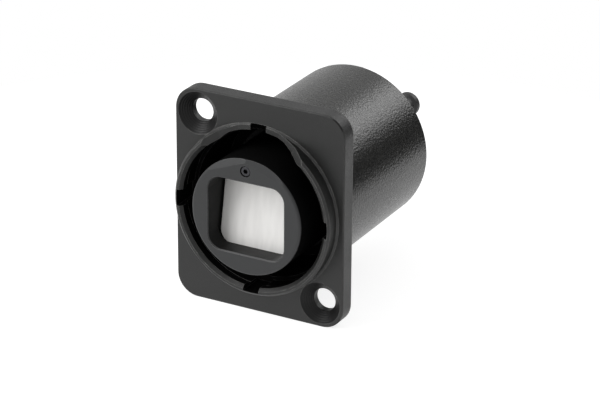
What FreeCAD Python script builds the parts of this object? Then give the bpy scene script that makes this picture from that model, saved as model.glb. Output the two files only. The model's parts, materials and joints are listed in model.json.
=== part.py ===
"""Four-channel fibre panel receptacle: a flanged barrel with a shuttered nose in front and LC ports behind.

Millimetres. +Z is up and the mating axis is Y. The front faces -Y, and the origin is on the axis,
in the plane of the flange's back face, which seats on the panel.
"""
import FreeCAD, Part
import math
import os

V = FreeCAD.Vector
FORWARD_AXIS = V(0, 1, 0)
ORIGIN = V(0, 0, 0)
OVERRUN = 1.0
FLAT_TOLERANCE = 1e-3

# ---- flange, collar and barrel -------------------------------------------------------------------
FLANGE_WIDTH = 26.0
FLANGE_HEIGHT = 31.0
FLANGE_THICK = 2.4
FLANGE_CORNER = 3.2
FLANGE_EDGE = 0.2
SCREW_X = 9.5
SCREW_Z = 12.0
SCREW_HOLE = 1.65
SINK_RADIUS = 3.05
SINK_DEPTH = 1.4

BARREL_RADIUS = 11.6
BARREL_LENGTH = 25.5
BARREL_EDGE = 0.2

COLLAR_RADIUS = 12.0
COLLAR_PROUD = 2.3
COLLAR_EDGE = 0.3
COLLAR_FOOT = 0.25
HUB_OVERLAP = 0.3
LIP_RADIUS = 10.9
LIP_CHAMFER = 0.45
LIP_LAND = 0.9
GROOVE_RADIUS = 11.35
GROOVE_END = -0.4
GAP_RADIUS = 10.75
KEYWAY_WIDTH = 2.4
KEYWAY_RADIUS = 11.65
MAIN_KEYWAY_RADIUS = 11.8
RAMP_ANGLE = 28.5
RAMP_HALF_LENGTH = 2.65
RAMP_BEND = 0.3
RAMP_BEND_DROP = 1.4
STEP_DROP = 2.1

SHOULDER_FRONT = 8.0
SHOULDER_THICK = 1.2
SHOULDER_BORE = 8.6
REAR_BORE = 10.5
GUIDE_WIDTH = 2.1
GUIDE_RADIUS = 10.8
RING_GROOVE_RADIUS = 11.15

# ---- nose ----------------------------------------------------------------------------------------
NOSE_RADIUS = 8.4
NOSE_FRONT = -6.1
NOSE_WALL = 2.7
NOSE_EDGE = 0.35
FACET_ANGLE = 21.0
FACET_START = 7.43
FACET_DEPTH = 0.4
WINDOW_HALF = 5.85
WINDOW_TOP = 5.05
WINDOW_BOTTOM = -5.5
WINDOW_CORNER = 2.0
WINDOW_EDGE = 0.15
CAVITY_TOP = 5.5
CAVITY_BOTTOM = -6.2
CAVITY_CORNER_LOW = 2.2
CAVITY_CORNER_HIGH = 0.5
BASE_BACK = 13.4

# ---- shutter -------------------------------------------------------------------------------------
PIN_Y = -0.6
PIN_Z = 5.5
PIN_RADIUS = 0.35
PIN_EDGE = 0.08
PIN_SHORT = 0.1
KNUCKLE_RADIUS = 0.7
KNUCKLE_BORE = 0.38
KNUCKLE_INNER = 1.2
KNUCKLE_OUTER = 3.0
FLAP_HALF = 5.6
FLAP_REACH = 11.5
FLAP_THICK = 0.5
FLAP_SHOULDER = 1.1
FLAP_CORNER_LOW = 2.0
FLAP_CORNER_HIGH = 0.6
LEDGE_CLEARANCE = 0.05
SPRING_WIRE = 0.12
SPRING_RADIUS = 0.56
SPRING_PITCH = 0.32
SPRING_TURNS = 5
SPRING_LEAN = 25.0
SPRING_TAIL = 1.6
SPRING_LEG = 0.8
SPRING_HOLE_CLEARANCE = 0.01

BRACKET_HALF = 3.9
BRACKET_RADIUS = 7.85
BRACKET_BOTTOM = 5.1
BRACKET_BLOCK_BACK = -1.75
BRACKET_EAR = 0.75
EAR_CLEARANCE = 0.1
BRACKET_ROOF = 6.45
POCKET_CLEARANCE = 0.05

NOSE_SCREW_Z = 6.7
NOSE_SCREW_RADIUS = 0.75
NOSE_SCREW_RECESS = 0.3
NOSE_SCREW_LENGTH = 3.8
NOSE_SCREW_SOCKET = 0.35
NOSE_SCREW_SOCKET_DEPTH = 0.7
NOSE_SCREW_EDGE = 0.12

SEAL_OUTER = 9.3
SEAL_THICK = 0.8
SEAL_EDGE = 0.25

# ---- sleeves and their block ---------------------------------------------------------------------
FIBRE_X = 3.125
FIBRE_Z = 2.65
MATING_PLANE = 15.0
PLATE_THICK = 1.6
PLATE_RADIUS = 10.4
TOWER_RADIUS = 1.45
TOWER_REACH = 3.8
SLEEVE_OUTER = 0.81
SLEEVE_INNER = 0.625
SLEEVE_LENGTH = 6.7
SLEEVE_SLOT = 0.2
SLEEVE_BORE = 0.85
FERRULE_HOLE = 0.7
DOWEL_RADIUS = 0.6
DOWEL_PLACE = 6.6
DOWEL_LENGTH = 1.6

# ---- LC ports, carrier and ring ------------------------------------------------------------------
PORT_BACK = 28.4
PORT_HALF_WIDTH = 6.25
PORT_HEIGHT = 8.05
PORT_CORNER = 1.5
PORT_JOINT_CORNER = 0.2
PLUG_BODY = 4.6
LATCH_WIDTH = 2.9
LATCH_TOP = 7.3
CATCH_GAP = 4.4
CATCH_LENGTH = 2.2
CATCH_FROM_BACK = 4.6
CATCH_HEIGHT = 6.3
PORT_FOOT_HALF = 7.1
PORT_FOOT_HEIGHT = 8.9
PORT_FOOT_THICK = 1.4
PORT_FOOT_LIMIT = 9.8
SPLIT_GAP = 0.02
CARRIER_BACK = 21.4
CARRIER_CLEARANCE = 0.06
CLAMP_X = 8.2
CLAMP_HOLE = 0.9
CLAMP_THREAD = 0.8
CLAMP_TIP = 10.5
CLAMP_HEAD = 1.4
CLAMP_HEAD_HEIGHT = 1.1
CLAMP_HEAD_EDGE = 0.3
CLAMP_SLOT = 0.4
TAB_WIDTH = 1.9
TAB_RADIUS = 10.7
RING_THICK = 1.0
RING_INNER = 9.8
RING_OUTER = 11.1
RING_GAP_ANGLE = 14.0
RING_LUG_ANGLE = 12.0
RING_LUG_RADIUS = 8.7
RING_LUG_HOLE = 0.4
RING_CENTRE_ANGLE = 90.0

# ---- dust plugs ----------------------------------------------------------------------------------
SHANK = 4.5
SHANK_FRONT = 19.4
SHANK_EDGE = 0.4
PLUG_COLLAR = 5.1
PLUG_COLLAR_THICK = 0.8
PLUG_COLLAR_CORNER = 0.7
GRIP_RADIUS = 1.45
GRIP_BEAD = 1.8
GRIP_BEAD_LENGTH = 1.5
GRIP_BACK = 36.8
GRIP_EDGE = 0.3

COLLAR_FRONT = -FLANGE_THICK - COLLAR_PROUD
SHOULDER_BACK = SHOULDER_FRONT + SHOULDER_THICK
WALL_BACK = NOSE_FRONT + NOSE_WALL
BLOCK_FRONT = MATING_PLANE - PLATE_THICK
BLOCK_BACK = MATING_PLANE + PLATE_THICK
PORT_CENTRES = [(x, z) for z in (FIBRE_Z, -FIBRE_Z) for x in (-FIBRE_X, FIBRE_X)]


# ---- shape helpers -------------------------------------------------------------------------------
def disc(radius, start, end, x=0.0, z=0.0):
    """A cylinder along Y between two depths."""
    return Part.makeCylinder(radius, end - start, V(x, start, z), FORWARD_AXIS)


def cone(radius_start, radius_end, start, end, x=0.0, z=0.0):
    """A cone along Y between two depths."""
    return Part.makeCone(radius_start, radius_end, end - start, V(x, start, z), FORWARD_AXIS)


def block(x_low, x_high, y_low, y_high, z_low, z_high):
    """A box between two corners."""
    return Part.makeBox(x_high - x_low, y_high - y_low, z_high - z_low, V(x_low, y_low, z_low))


def turned(profile):
    """A solid of revolution about Y, from (radius, depth) points."""
    points = [V(radius, depth, 0) for radius, depth in profile]
    face = Part.Face(Part.makePolygon(points + points[:1]))
    return face.revolve(ORIGIN, FORWARD_AXIS, 360)


def corner_arc(centre_x, centre_z, radius, start_angle, depth):
    """A quarter arc in the plane across Y, counter-clockwise from its start angle."""
    def at(angle):
        turn = math.radians(angle)
        return V(centre_x + radius * math.cos(turn), depth, centre_z + radius * math.sin(turn))
    return Part.Arc(at(start_angle), at(start_angle + 45), at(start_angle + 90)).toShape()


def rounded_block(half_width, z_low, z_high, corner_low, corner_high, start, end, x=0.0):
    """A prism along Y over a rectangle whose lower and upper corners are rounded."""
    arcs = [
        corner_arc(x + half_width - corner_high, z_high - corner_high, corner_high, 0, start),
        corner_arc(x - half_width + corner_high, z_high - corner_high, corner_high, 90, start),
        corner_arc(x - half_width + corner_low, z_low + corner_low, corner_low, 180, start),
        corner_arc(x + half_width - corner_low, z_low + corner_low, corner_low, 270, start),
    ]
    edges = []
    for arc, following in zip(arcs, arcs[1:] + arcs[:1]):
        edges.append(arc)
        edges.append(Part.LineSegment(arc.lastVertex().Point, following.firstVertex().Point).toShape())
    outline = Part.Wire(Part.__sortEdges__(edges))
    return Part.Face(outline).extrude(V(0, end - start, 0))


def edges_at_depth(shape, depth, radius_low, radius_high):
    """Edges that lie in one plane across Y and within a ring about the axis."""
    found = []
    for edge in shape.Edges:
        box = edge.BoundBox
        middle = edge.valueAt((edge.FirstParameter + edge.LastParameter) / 2)
        reach = math.hypot(middle.x, middle.z)
        flat = abs(box.YMin - depth) < FLAT_TOLERANCE and abs(box.YMax - depth) < FLAT_TOLERANCE
        if flat and radius_low < reach < radius_high:
            found.append(edge)
    return found


def fuse_all(shapes):
    """One clean solid from touching or overlapping solids."""
    return shapes[0].multiFuse(shapes[1:]).removeSplitter()


def turn_about_axis(shape, degrees):
    """A copy of a shape, turned about the mating axis from +X towards +Z."""
    copy = shape.copy()
    copy.rotate(ORIGIN, FORWARD_AXIS, -degrees)
    return copy


# ---- housing -------------------------------------------------------------------------------------
def flange():
    """Panel flange with rounded corners, a softened front edge and two countersunk holes."""
    half_w, half_h = FLANGE_WIDTH / 2, FLANGE_HEIGHT / 2
    plate = rounded_block(half_w, -half_h, half_h, FLANGE_CORNER, FLANGE_CORNER, -FLANGE_THICK, 0)
    front = edges_at_depth(plate, -FLANGE_THICK, half_w - OVERRUN, half_w + half_h)
    plate = plate.makeFillet(FLANGE_EDGE, front)
    for side in (1, -1):
        x, z = -side * SCREW_X, side * SCREW_Z
        plate = plate.cut(disc(SCREW_HOLE, -FLANGE_THICK, 0, x, z))
        plate = plate.cut(cone(SINK_RADIUS, SCREW_HOLE, -FLANGE_THICK, -FLANGE_THICK + SINK_DEPTH, x, z))
    return plate


def shell_profile():
    """Half section of the collar and barrel with every bore that is turned about the axis."""
    lip_back = COLLAR_FRONT + LIP_CHAMFER + LIP_LAND
    groove_slope = GROOVE_RADIUS - LIP_RADIUS
    ring_front = CARRIER_BACK - CARRIER_CLEARANCE
    ring_back = CARRIER_BACK + RING_THICK + CARRIER_CLEARANCE
    return [
        (COLLAR_RADIUS - COLLAR_EDGE, COLLAR_FRONT),
        (COLLAR_RADIUS, COLLAR_FRONT + COLLAR_EDGE),
        (COLLAR_RADIUS, -FLANGE_THICK - COLLAR_FOOT),
        (COLLAR_RADIUS + COLLAR_FOOT, -FLANGE_THICK),
        (COLLAR_RADIUS + COLLAR_FOOT, -FLANGE_THICK / 2),
        (BARREL_RADIUS, -FLANGE_THICK / 2),
        (BARREL_RADIUS, BARREL_LENGTH - BARREL_EDGE),
        (BARREL_RADIUS - BARREL_EDGE, BARREL_LENGTH),
        (REAR_BORE + BARREL_EDGE, BARREL_LENGTH),
        (REAR_BORE, BARREL_LENGTH - BARREL_EDGE),
        (REAR_BORE, ring_back),
        (RING_GROOVE_RADIUS, ring_back),
        (RING_GROOVE_RADIUS, ring_front),
        (REAR_BORE, ring_front),
        (REAR_BORE, SHOULDER_BACK),
        (SHOULDER_BORE, SHOULDER_BACK),
        (SHOULDER_BORE, SHOULDER_FRONT),
        (GAP_RADIUS, SHOULDER_FRONT),
        (GAP_RADIUS, GROOVE_END),
        (GROOVE_RADIUS, GROOVE_END),
        (GROOVE_RADIUS, lip_back + groove_slope),
        (LIP_RADIUS, lip_back),
        (LIP_RADIUS, COLLAR_FRONT + LIP_CHAMFER),
        (LIP_RADIUS + LIP_CHAMFER, COLLAR_FRONT),
    ]


def keyways():
    """Four slots through the lip: a deeper one at the top, and one at each other quarter."""
    half = KEYWAY_WIDTH / 2
    front = COLLAR_FRONT - OVERRUN
    slots = []
    for angle in (0, 90, 180, 270):
        reach = MAIN_KEYWAY_RADIUS if angle == 90 else KEYWAY_RADIUS
        bar = block(GAP_RADIUS - OVERRUN, COLLAR_RADIUS + OVERRUN, front, GROOVE_END, -half, half)
        slots.append(turn_about_axis(bar.common(disc(reach, front, GROOVE_END)), angle))
    return slots


def ramp_cuts():
    """Two cuts that lower the collar about the main keyway, each with a bent ramp up to the full height."""
    front = COLLAR_FRONT - OVERRUN
    low = COLLAR_FRONT + STEP_DROP
    inner, outer = LIP_RADIUS - OVERRUN, COLLAR_RADIUS + OVERRUN
    middle = -outer * math.tan(math.radians(RAMP_ANGLE))
    outline = [
        (middle, front),
        (middle, low),
        (-RAMP_HALF_LENGTH, low),
        (RAMP_BEND, COLLAR_FRONT + RAMP_BEND_DROP),
        (RAMP_HALF_LENGTH, COLLAR_FRONT),
        (RAMP_HALF_LENGTH, front),
    ]
    cuts = []
    for side in (-1, 1):
        points = [V(inner, depth, side * along) for along, depth in outline]
        cut = Part.Face(Part.makePolygon(points + points[:1])).extrude(V(outer - inner, 0, 0))
        cuts.append(turn_about_axis(cut, 90 + side * RAMP_ANGLE))
    return cuts


def guide_slot(radius, width, start, end):
    """The straight guide at the bottom that keeps the insert from turning."""
    half = width / 2
    return block(-half, half, start, end, -radius, -NOSE_RADIUS)


def housing_shell():
    """Flange, keyed collar and barrel in one moulding."""
    shell = flange().cut(disc(BARREL_RADIUS - HUB_OVERLAP, -FLANGE_THICK, 0))
    shell = shell.fuse(turned(shell_profile())).removeSplitter()
    shell = shell.cut(keyways() + ramp_cuts())
    slot = guide_slot(GUIDE_RADIUS, GUIDE_WIDTH, SHOULDER_BACK, BARREL_LENGTH)
    return shell.cut(slot)


# ---- nose ----------------------------------------------------------------------------------------
def anti_turn_tab(start, end):
    """The tab that rides in the housing's guide."""
    return guide_slot(TAB_RADIUS, TAB_WIDTH, start, end)


def bracket_space(clearance, end):
    """The dome-topped space under the nose's skin that holds the hinge bracket."""
    half = BRACKET_HALF + clearance
    bar = block(-half, half, WALL_BACK, end, BRACKET_BOTTOM - clearance, NOSE_RADIUS)
    return bar.common(disc(BRACKET_RADIUS + clearance, WALL_BACK, end))


def clamp_holes(radius, start, end):
    """Holes for the two long clamp screws."""
    return [disc(radius, start, end, side * CLAMP_X, 0) for side in (-1, 1)]


def nose_facets():
    """Wedges that slope the nose's front edge in two shallow flats, which meet at the top."""
    reach = NOSE_RADIUS + OVERRUN
    slope = FACET_DEPTH / (NOSE_RADIUS - FACET_START)
    points = [
        V(FACET_START, NOSE_FRONT, -NOSE_RADIUS),
        V(reach, NOSE_FRONT, -NOSE_RADIUS),
        V(reach, NOSE_FRONT + slope * (reach - FACET_START), -NOSE_RADIUS),
    ]
    wedge = Part.Face(Part.makePolygon(points + points[:1])).extrude(V(0, 0, 2 * NOSE_RADIUS))
    return [turn_about_axis(wedge, 90 + side * FACET_ANGLE) for side in (-1, 1)]


def nose_body():
    """Round insert with the window, the shutter's cavity and the base that seats in the barrel."""
    stem = disc(NOSE_RADIUS, NOSE_FRONT, SHOULDER_BACK)
    base = disc(PLATE_RADIUS, SHOULDER_BACK, BASE_BACK)
    body = fuse_all([stem, base, anti_turn_tab(SHOULDER_BACK, BASE_BACK)])
    rim = edges_at_depth(body, NOSE_FRONT, NOSE_RADIUS - OVERRUN, NOSE_RADIUS + OVERRUN)
    body = body.makeFillet(NOSE_EDGE, rim)
    window = rounded_block(WINDOW_HALF, WINDOW_BOTTOM, WINDOW_TOP, WINDOW_CORNER, WINDOW_CORNER,
                           NOSE_FRONT, WALL_BACK)
    body = body.cut(window)
    body = body.makeChamfer(WINDOW_EDGE, edges_at_depth(body, NOSE_FRONT, 0, NOSE_RADIUS - OVERRUN))
    cavity = rounded_block(WINDOW_HALF, CAVITY_BOTTOM, CAVITY_TOP, CAVITY_CORNER_LOW, CAVITY_CORNER_HIGH,
                           WALL_BACK, BASE_BACK)
    pocket = bracket_space(POCKET_CLEARANCE, PIN_Y + BRACKET_EAR + POCKET_CLEARANCE)
    screw = disc(NOSE_SCREW_RADIUS + POCKET_CLEARANCE, NOSE_FRONT, WALL_BACK, 0, NOSE_SCREW_Z)
    return body.cut([cavity, pocket, screw] + nose_facets() + clamp_holes(CLAMP_THREAD, CLAMP_TIP, BASE_BACK))


def nose_seal():
    """Rubber ring round the nose, seated on the shoulder, with a bevelled front lip."""
    front = SHOULDER_FRONT - SEAL_THICK
    return turned([
        (NOSE_RADIUS, front),
        (SEAL_OUTER - SEAL_EDGE, front),
        (SEAL_OUTER, front + SEAL_EDGE),
        (SEAL_OUTER, SHOULDER_FRONT),
        (NOSE_RADIUS, SHOULDER_FRONT),
    ])


def hexagon(across_corners, start, end, x, z):
    """A hexagonal prism along Y."""
    points = []
    for corner in range(7):
        turn = math.radians(60 * corner)
        points.append(V(x + across_corners * math.cos(turn), start, z + across_corners * math.sin(turn)))
    return Part.Face(Part.makePolygon(points)).extrude(V(0, end - start, 0))


def nose_screw():
    """Socket screw that draws the hinge bracket up to the front wall."""
    front = NOSE_FRONT + NOSE_SCREW_RECESS
    screw = disc(NOSE_SCREW_RADIUS, front, front + NOSE_SCREW_LENGTH, 0, NOSE_SCREW_Z)
    rims = [edge for edge in screw.Edges if edge.BoundBox.YLength < FLAT_TOLERANCE]
    screw = screw.makeChamfer(NOSE_SCREW_EDGE, rims)
    socket = hexagon(NOSE_SCREW_SOCKET, front, front + NOSE_SCREW_SOCKET_DEPTH, 0, NOSE_SCREW_Z)
    return screw.cut(socket)


# ---- shutter -------------------------------------------------------------------------------------
def along_pin(radius, x_low, x_high):
    """A cylinder about the hinge pin."""
    return Part.makeCylinder(radius, x_high - x_low, V(x_low, PIN_Y, PIN_Z), V(1, 0, 0))


def closed_angle():
    """Lean of the closed flap from the vertical, its lower edge just short of the front wall's back."""
    forward = PIN_Y - (WALL_BACK + LEDGE_CLEARANCE)
    edge_reach = math.hypot(KNUCKLE_RADIUS, FLAP_REACH)
    return math.degrees(math.asin(forward / edge_reach) - math.atan2(KNUCKLE_RADIUS, FLAP_REACH))


def shutter_flap():
    """Sheet flap with two rolled knuckles, drawn hanging straight down and then leant to its stop."""
    front = PIN_Y - KNUCKLE_RADIUS
    sheet = rounded_block(FLAP_HALF, PIN_Z - FLAP_REACH, PIN_Z - FLAP_SHOULDER, FLAP_CORNER_LOW,
                          FLAP_CORNER_HIGH, front, front + FLAP_THICK)
    parts = [sheet]
    for side in (-1, 1):
        low, high = sorted((side * KNUCKLE_INNER, side * KNUCKLE_OUTER))
        parts.append(block(low, high, front, front + FLAP_THICK, PIN_Z - FLAP_SHOULDER - FLAP_THICK, PIN_Z))
        parts.append(along_pin(KNUCKLE_RADIUS, low, high))
    flap = fuse_all(parts)
    flap = flap.cut(along_pin(KNUCKLE_BORE, -KNUCKLE_OUTER, KNUCKLE_OUTER))
    flap.rotate(V(0, PIN_Y, PIN_Z), V(1, 0, 0), -closed_angle())
    return flap


def shutter_pin():
    """Hinge pin, held at both ends by the bracket's ears."""
    pin = along_pin(PIN_RADIUS, -BRACKET_HALF + PIN_SHORT, BRACKET_HALF - PIN_SHORT)
    return pin.makeChamfer(PIN_EDGE, [edge for edge in pin.Edges if edge.BoundBox.XLength < FLAT_TOLERANCE])


def hinge_bracket():
    """Dome-topped block with a tapped hole, a roof and two ears for the pin."""
    back = PIN_Y + BRACKET_EAR
    bracket = bracket_space(0, back)
    ear_inner = KNUCKLE_OUTER + EAR_CLEARANCE
    low = BRACKET_BOTTOM - OVERRUN
    bracket = bracket.cut(block(-ear_inner, ear_inner, BRACKET_BLOCK_BACK, back, low, BRACKET_ROOF))
    rounding = block(-BRACKET_HALF, BRACKET_HALF, PIN_Y, back, low, PIN_Z)
    rounding = rounding.cut(along_pin(BRACKET_EAR, -BRACKET_HALF, BRACKET_HALF))
    tapped = disc(NOSE_SCREW_RADIUS, WALL_BACK, BRACKET_BLOCK_BACK, 0, NOSE_SCREW_Z)
    holes = along_pin(PIN_RADIUS, -BRACKET_HALF, BRACKET_HALF)
    tail_x = SPRING_PITCH * (SPRING_TURNS + SPRING_LEAN / 360) / 2
    tail_top = PIN_Z + SPRING_TAIL
    tail_hole = Part.makeCylinder(SPRING_WIRE + SPRING_HOLE_CLEARANCE, tail_top - BRACKET_ROOF,
                                  V(tail_x, PIN_Y + SPRING_RADIUS, BRACKET_ROOF))
    return bracket.cut([rounding, tapped, holes, tail_hole])


def spring_point(degrees, x):
    """A point on the coil's centre line, at an angle about the pin from +Y towards +Z."""
    turn = math.radians(degrees)
    return V(x, PIN_Y + SPRING_RADIUS * math.cos(turn), PIN_Z + SPRING_RADIUS * math.sin(turn))


def shutter_spring():
    """Torsion coil round the pin. Its tail stands in the bracket's roof and its leg points at the flap."""
    length = SPRING_PITCH * (SPRING_TURNS + SPRING_LEAN / 360)
    helix = Part.makeHelix(SPRING_PITCH, length, SPRING_RADIUS)
    helix.rotate(ORIGIN, V(0, 0, 1), -SPRING_LEAN)
    helix.rotate(ORIGIN, V(1, 1, 1), 120)
    helix.translate(V(-length / 2, PIN_Y, PIN_Z))
    first = helix.Edges[0]
    begin = first.FirstParameter
    circle = Part.makeCircle(SPRING_WIRE, first.valueAt(begin), first.tangentAt(begin))
    coil = Part.Wire(helix.Edges).makePipeShell([Part.Wire(circle)], True, True)
    tail_foot = spring_point(0, length / 2)
    leg_foot = spring_point(-SPRING_LEAN, -length / 2)
    lean = math.radians(SPRING_LEAN)
    leg_way = V(0, -math.sin(lean), -math.cos(lean))
    parts = [
        coil,
        Part.makeSphere(SPRING_WIRE, tail_foot),
        Part.makeSphere(SPRING_WIRE, leg_foot),
        Part.makeCylinder(SPRING_WIRE, SPRING_TAIL, tail_foot, V(0, 0, 1)),
        Part.makeCylinder(SPRING_WIRE, SPRING_LEG, leg_foot, leg_way),
    ]
    return fuse_all(parts)


# ---- sleeves and block ---------------------------------------------------------------------------
def block_half(face, back, tower_end, bore_start, bore_end):
    """Half of the sleeve block: a round plate with four sleeve towers and the clamp holes."""
    low, high = sorted((face, back))
    parts = [disc(PLATE_RADIUS, low, high), anti_turn_tab(low, high)]
    for x, z in PORT_CENTRES:
        start, end = sorted((back, tower_end))
        parts.append(disc(TOWER_RADIUS, start, end, x, z))
    half = fuse_all(parts)
    holes = clamp_holes(CLAMP_HOLE, low, high)
    bore_low, bore_high = sorted((bore_start, bore_end))
    hole_low, hole_high = sorted((bore_end, tower_end))
    for x, z in PORT_CENTRES:
        holes.append(disc(SLEEVE_BORE, bore_low, bore_high, x, z))
        holes.append(disc(FERRULE_HOLE, hole_low, hole_high, x, z))
    for side in (-1, 1):
        start, end = MATING_PLANE - DOWEL_LENGTH / 2, MATING_PLANE + DOWEL_LENGTH / 2
        holes.append(disc(DOWEL_RADIUS, start, end, side * DOWEL_PLACE, -side * DOWEL_PLACE))
    return half.cut(holes)


def split_sleeve(x, z):
    """Thin ceramic tube with one lengthwise slot that grips both ferrules."""
    start, end = MATING_PLANE - SLEEVE_LENGTH / 2, MATING_PLANE + SLEEVE_LENGTH / 2
    tube = disc(SLEEVE_OUTER, start, end, x, z).cut(disc(SLEEVE_INNER, start, end, x, z))
    half = SLEEVE_SLOT / 2
    return tube.cut(block(x - half, x + half, start, end, z, z + 2 * SLEEVE_OUTER))


def block_dowels():
    """Two pins across the block's joint."""
    start, end = MATING_PLANE - DOWEL_LENGTH / 2, MATING_PLANE + DOWEL_LENGTH / 2
    pins = [disc(DOWEL_RADIUS, start, end, side * DOWEL_PLACE, -side * DOWEL_PLACE) for side in (-1, 1)]
    return Part.makeCompound(pins)


# ---- LC ports ------------------------------------------------------------------------------------
def lc_port():
    """Upper duplex port: two plug openings side by side, with their latch channels on top."""
    outer = rounded_block(PORT_HALF_WIDTH, SPLIT_GAP, PORT_HEIGHT, PORT_JOINT_CORNER, PORT_CORNER,
                          BLOCK_BACK, PORT_BACK)
    foot_back = BLOCK_BACK + PORT_FOOT_THICK
    foot = block(-PORT_FOOT_HALF, PORT_FOOT_HALF, BLOCK_BACK, foot_back, SPLIT_GAP, PORT_FOOT_HEIGHT)
    foot = foot.common(disc(PORT_FOOT_LIMIT, BLOCK_BACK, foot_back))
    port = fuse_all([outer, foot])
    half = PLUG_BODY / 2
    catch_back = PORT_BACK - CATCH_FROM_BACK + CATCH_LENGTH
    for x in (-FIBRE_X, FIBRE_X):
        opening = block(x - half, x + half, BLOCK_BACK, PORT_BACK, FIBRE_Z - half, FIBRE_Z + half)
        channel = block(x - LATCH_WIDTH / 2, x + LATCH_WIDTH / 2, BLOCK_BACK, PORT_BACK, FIBRE_Z, LATCH_TOP)
        catch = block(x - CATCH_GAP / 2, x + CATCH_GAP / 2, catch_back - CATCH_LENGTH, catch_back,
                      FIBRE_Z, CATCH_HEIGHT)
        port = port.cut([opening, channel, catch])
    return port


def rear_carrier():
    """Plate that clamps the feet of both ports onto the sleeve block."""
    plate = fuse_all([disc(PLATE_RADIUS, BLOCK_BACK, CARRIER_BACK), anti_turn_tab(BLOCK_BACK, CARRIER_BACK)])
    foot_back = BLOCK_BACK + PORT_FOOT_THICK
    half = PORT_FOOT_HALF + CARRIER_CLEARANCE
    tall = PORT_FOOT_HEIGHT + CARRIER_CLEARANCE
    pocket = block(-half, half, BLOCK_BACK, foot_back, -tall, tall)
    pocket = pocket.common(disc(PORT_FOOT_LIMIT + CARRIER_CLEARANCE, BLOCK_BACK, foot_back))
    tall = PORT_HEIGHT + CARRIER_CLEARANCE
    corner = PORT_CORNER + CARRIER_CLEARANCE
    opening = rounded_block(PORT_HALF_WIDTH + CARRIER_CLEARANCE, -tall, tall, corner, corner,
                            foot_back, CARRIER_BACK)
    return plate.cut([pocket, opening] + clamp_holes(CLAMP_HOLE, BLOCK_BACK, CARRIER_BACK))


def carrier_screws():
    """Two long slotted screws that hold the insert together."""
    screws = []
    for side in (-1, 1):
        x = side * CLAMP_X
        head_top = CARRIER_BACK + CLAMP_HEAD_HEIGHT
        head = disc(CLAMP_HEAD, CARRIER_BACK, head_top - CLAMP_HEAD_EDGE, x, 0)
        dome = cone(CLAMP_HEAD, CLAMP_HEAD - CLAMP_HEAD_EDGE, head_top - CLAMP_HEAD_EDGE, head_top, x, 0)
        half = CLAMP_SLOT / 2
        slot = block(x - CLAMP_HEAD, x + CLAMP_HEAD, head_top - CLAMP_HEAD_HEIGHT / 2, head_top, -half, half)
        shank = disc(CLAMP_THREAD, CLAMP_TIP, CARRIER_BACK, x, 0)
        screws.append(fuse_all([head, dome, shank]).cut(slot))
    return Part.makeCompound(screws)


def ring_sector(inner, outer, angle, width, start, end):
    """A piece of a flat ring, centred on an angle."""
    ring = disc(outer, start, end).cut(disc(inner, start, end))
    turn = math.radians(width / 2)
    reach = 2 * outer
    points = [V(0, start, 0), V(reach, start, -reach * math.tan(turn)), V(reach, start, reach * math.tan(turn))]
    sector = Part.Face(Part.makePolygon(points + points[:1])).extrude(V(0, end - start, 0))
    return turn_about_axis(ring.common(sector), angle)


def retaining_ring():
    """Sprung internal ring with two lugs with plier holes."""
    start, end = CARRIER_BACK, CARRIER_BACK + RING_THICK
    ring = disc(RING_OUTER, start, end).cut(disc(RING_INNER, start, end))
    gap = ring_sector(RING_INNER - OVERRUN, RING_OUTER + OVERRUN, RING_CENTRE_ANGLE, RING_GAP_ANGLE, start, end)
    ring = ring.cut(gap)
    lug_middle = (RING_GAP_ANGLE + RING_LUG_ANGLE) / 2
    hole_reach = (RING_LUG_RADIUS + RING_INNER) / 2
    ring_middle = (RING_INNER + RING_OUTER) / 2
    for side in (-1, 1):
        angle = RING_CENTRE_ANGLE + side * lug_middle
        ring = ring.fuse(ring_sector(RING_LUG_RADIUS, ring_middle, angle, RING_LUG_ANGLE, start, end))
        turn = math.radians(angle)
        hole = disc(RING_LUG_HOLE, start, end, hole_reach * math.cos(turn), hole_reach * math.sin(turn))
        ring = ring.cut(hole)
    return ring.removeSplitter()


# ---- dust plugs ----------------------------------------------------------------------------------
def dust_plug(x, z):
    """Square shank in the port, a collar on its mouth and a round grip with an end bead."""
    half = SHANK / 2
    shank = block(x - half, x + half, SHANK_FRONT, PORT_BACK, z - half, z + half)
    tip = [edge for edge in shank.Edges if abs(edge.BoundBox.YMax - SHANK_FRONT) < FLAT_TOLERANCE]
    shank = shank.makeChamfer(SHANK_EDGE, tip)
    wide = PLUG_COLLAR / 2
    grip_start = PORT_BACK + PLUG_COLLAR_THICK
    collar = rounded_block(wide, z - wide, z + wide, PLUG_COLLAR_CORNER, PLUG_COLLAR_CORNER,
                           PORT_BACK, grip_start, x)
    bead_start = GRIP_BACK - GRIP_BEAD_LENGTH
    flare = GRIP_BEAD - GRIP_RADIUS
    grip = turned([
        (0, grip_start),
        (GRIP_RADIUS, grip_start),
        (GRIP_RADIUS, bead_start),
        (GRIP_BEAD, bead_start + flare),
        (GRIP_BEAD, GRIP_BACK - GRIP_EDGE),
        (GRIP_BEAD - GRIP_EDGE, GRIP_BACK),
        (0, GRIP_BACK),
    ])
    grip.translate(V(x, 0, z))
    return fuse_all([shank, collar, grip])


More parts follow.
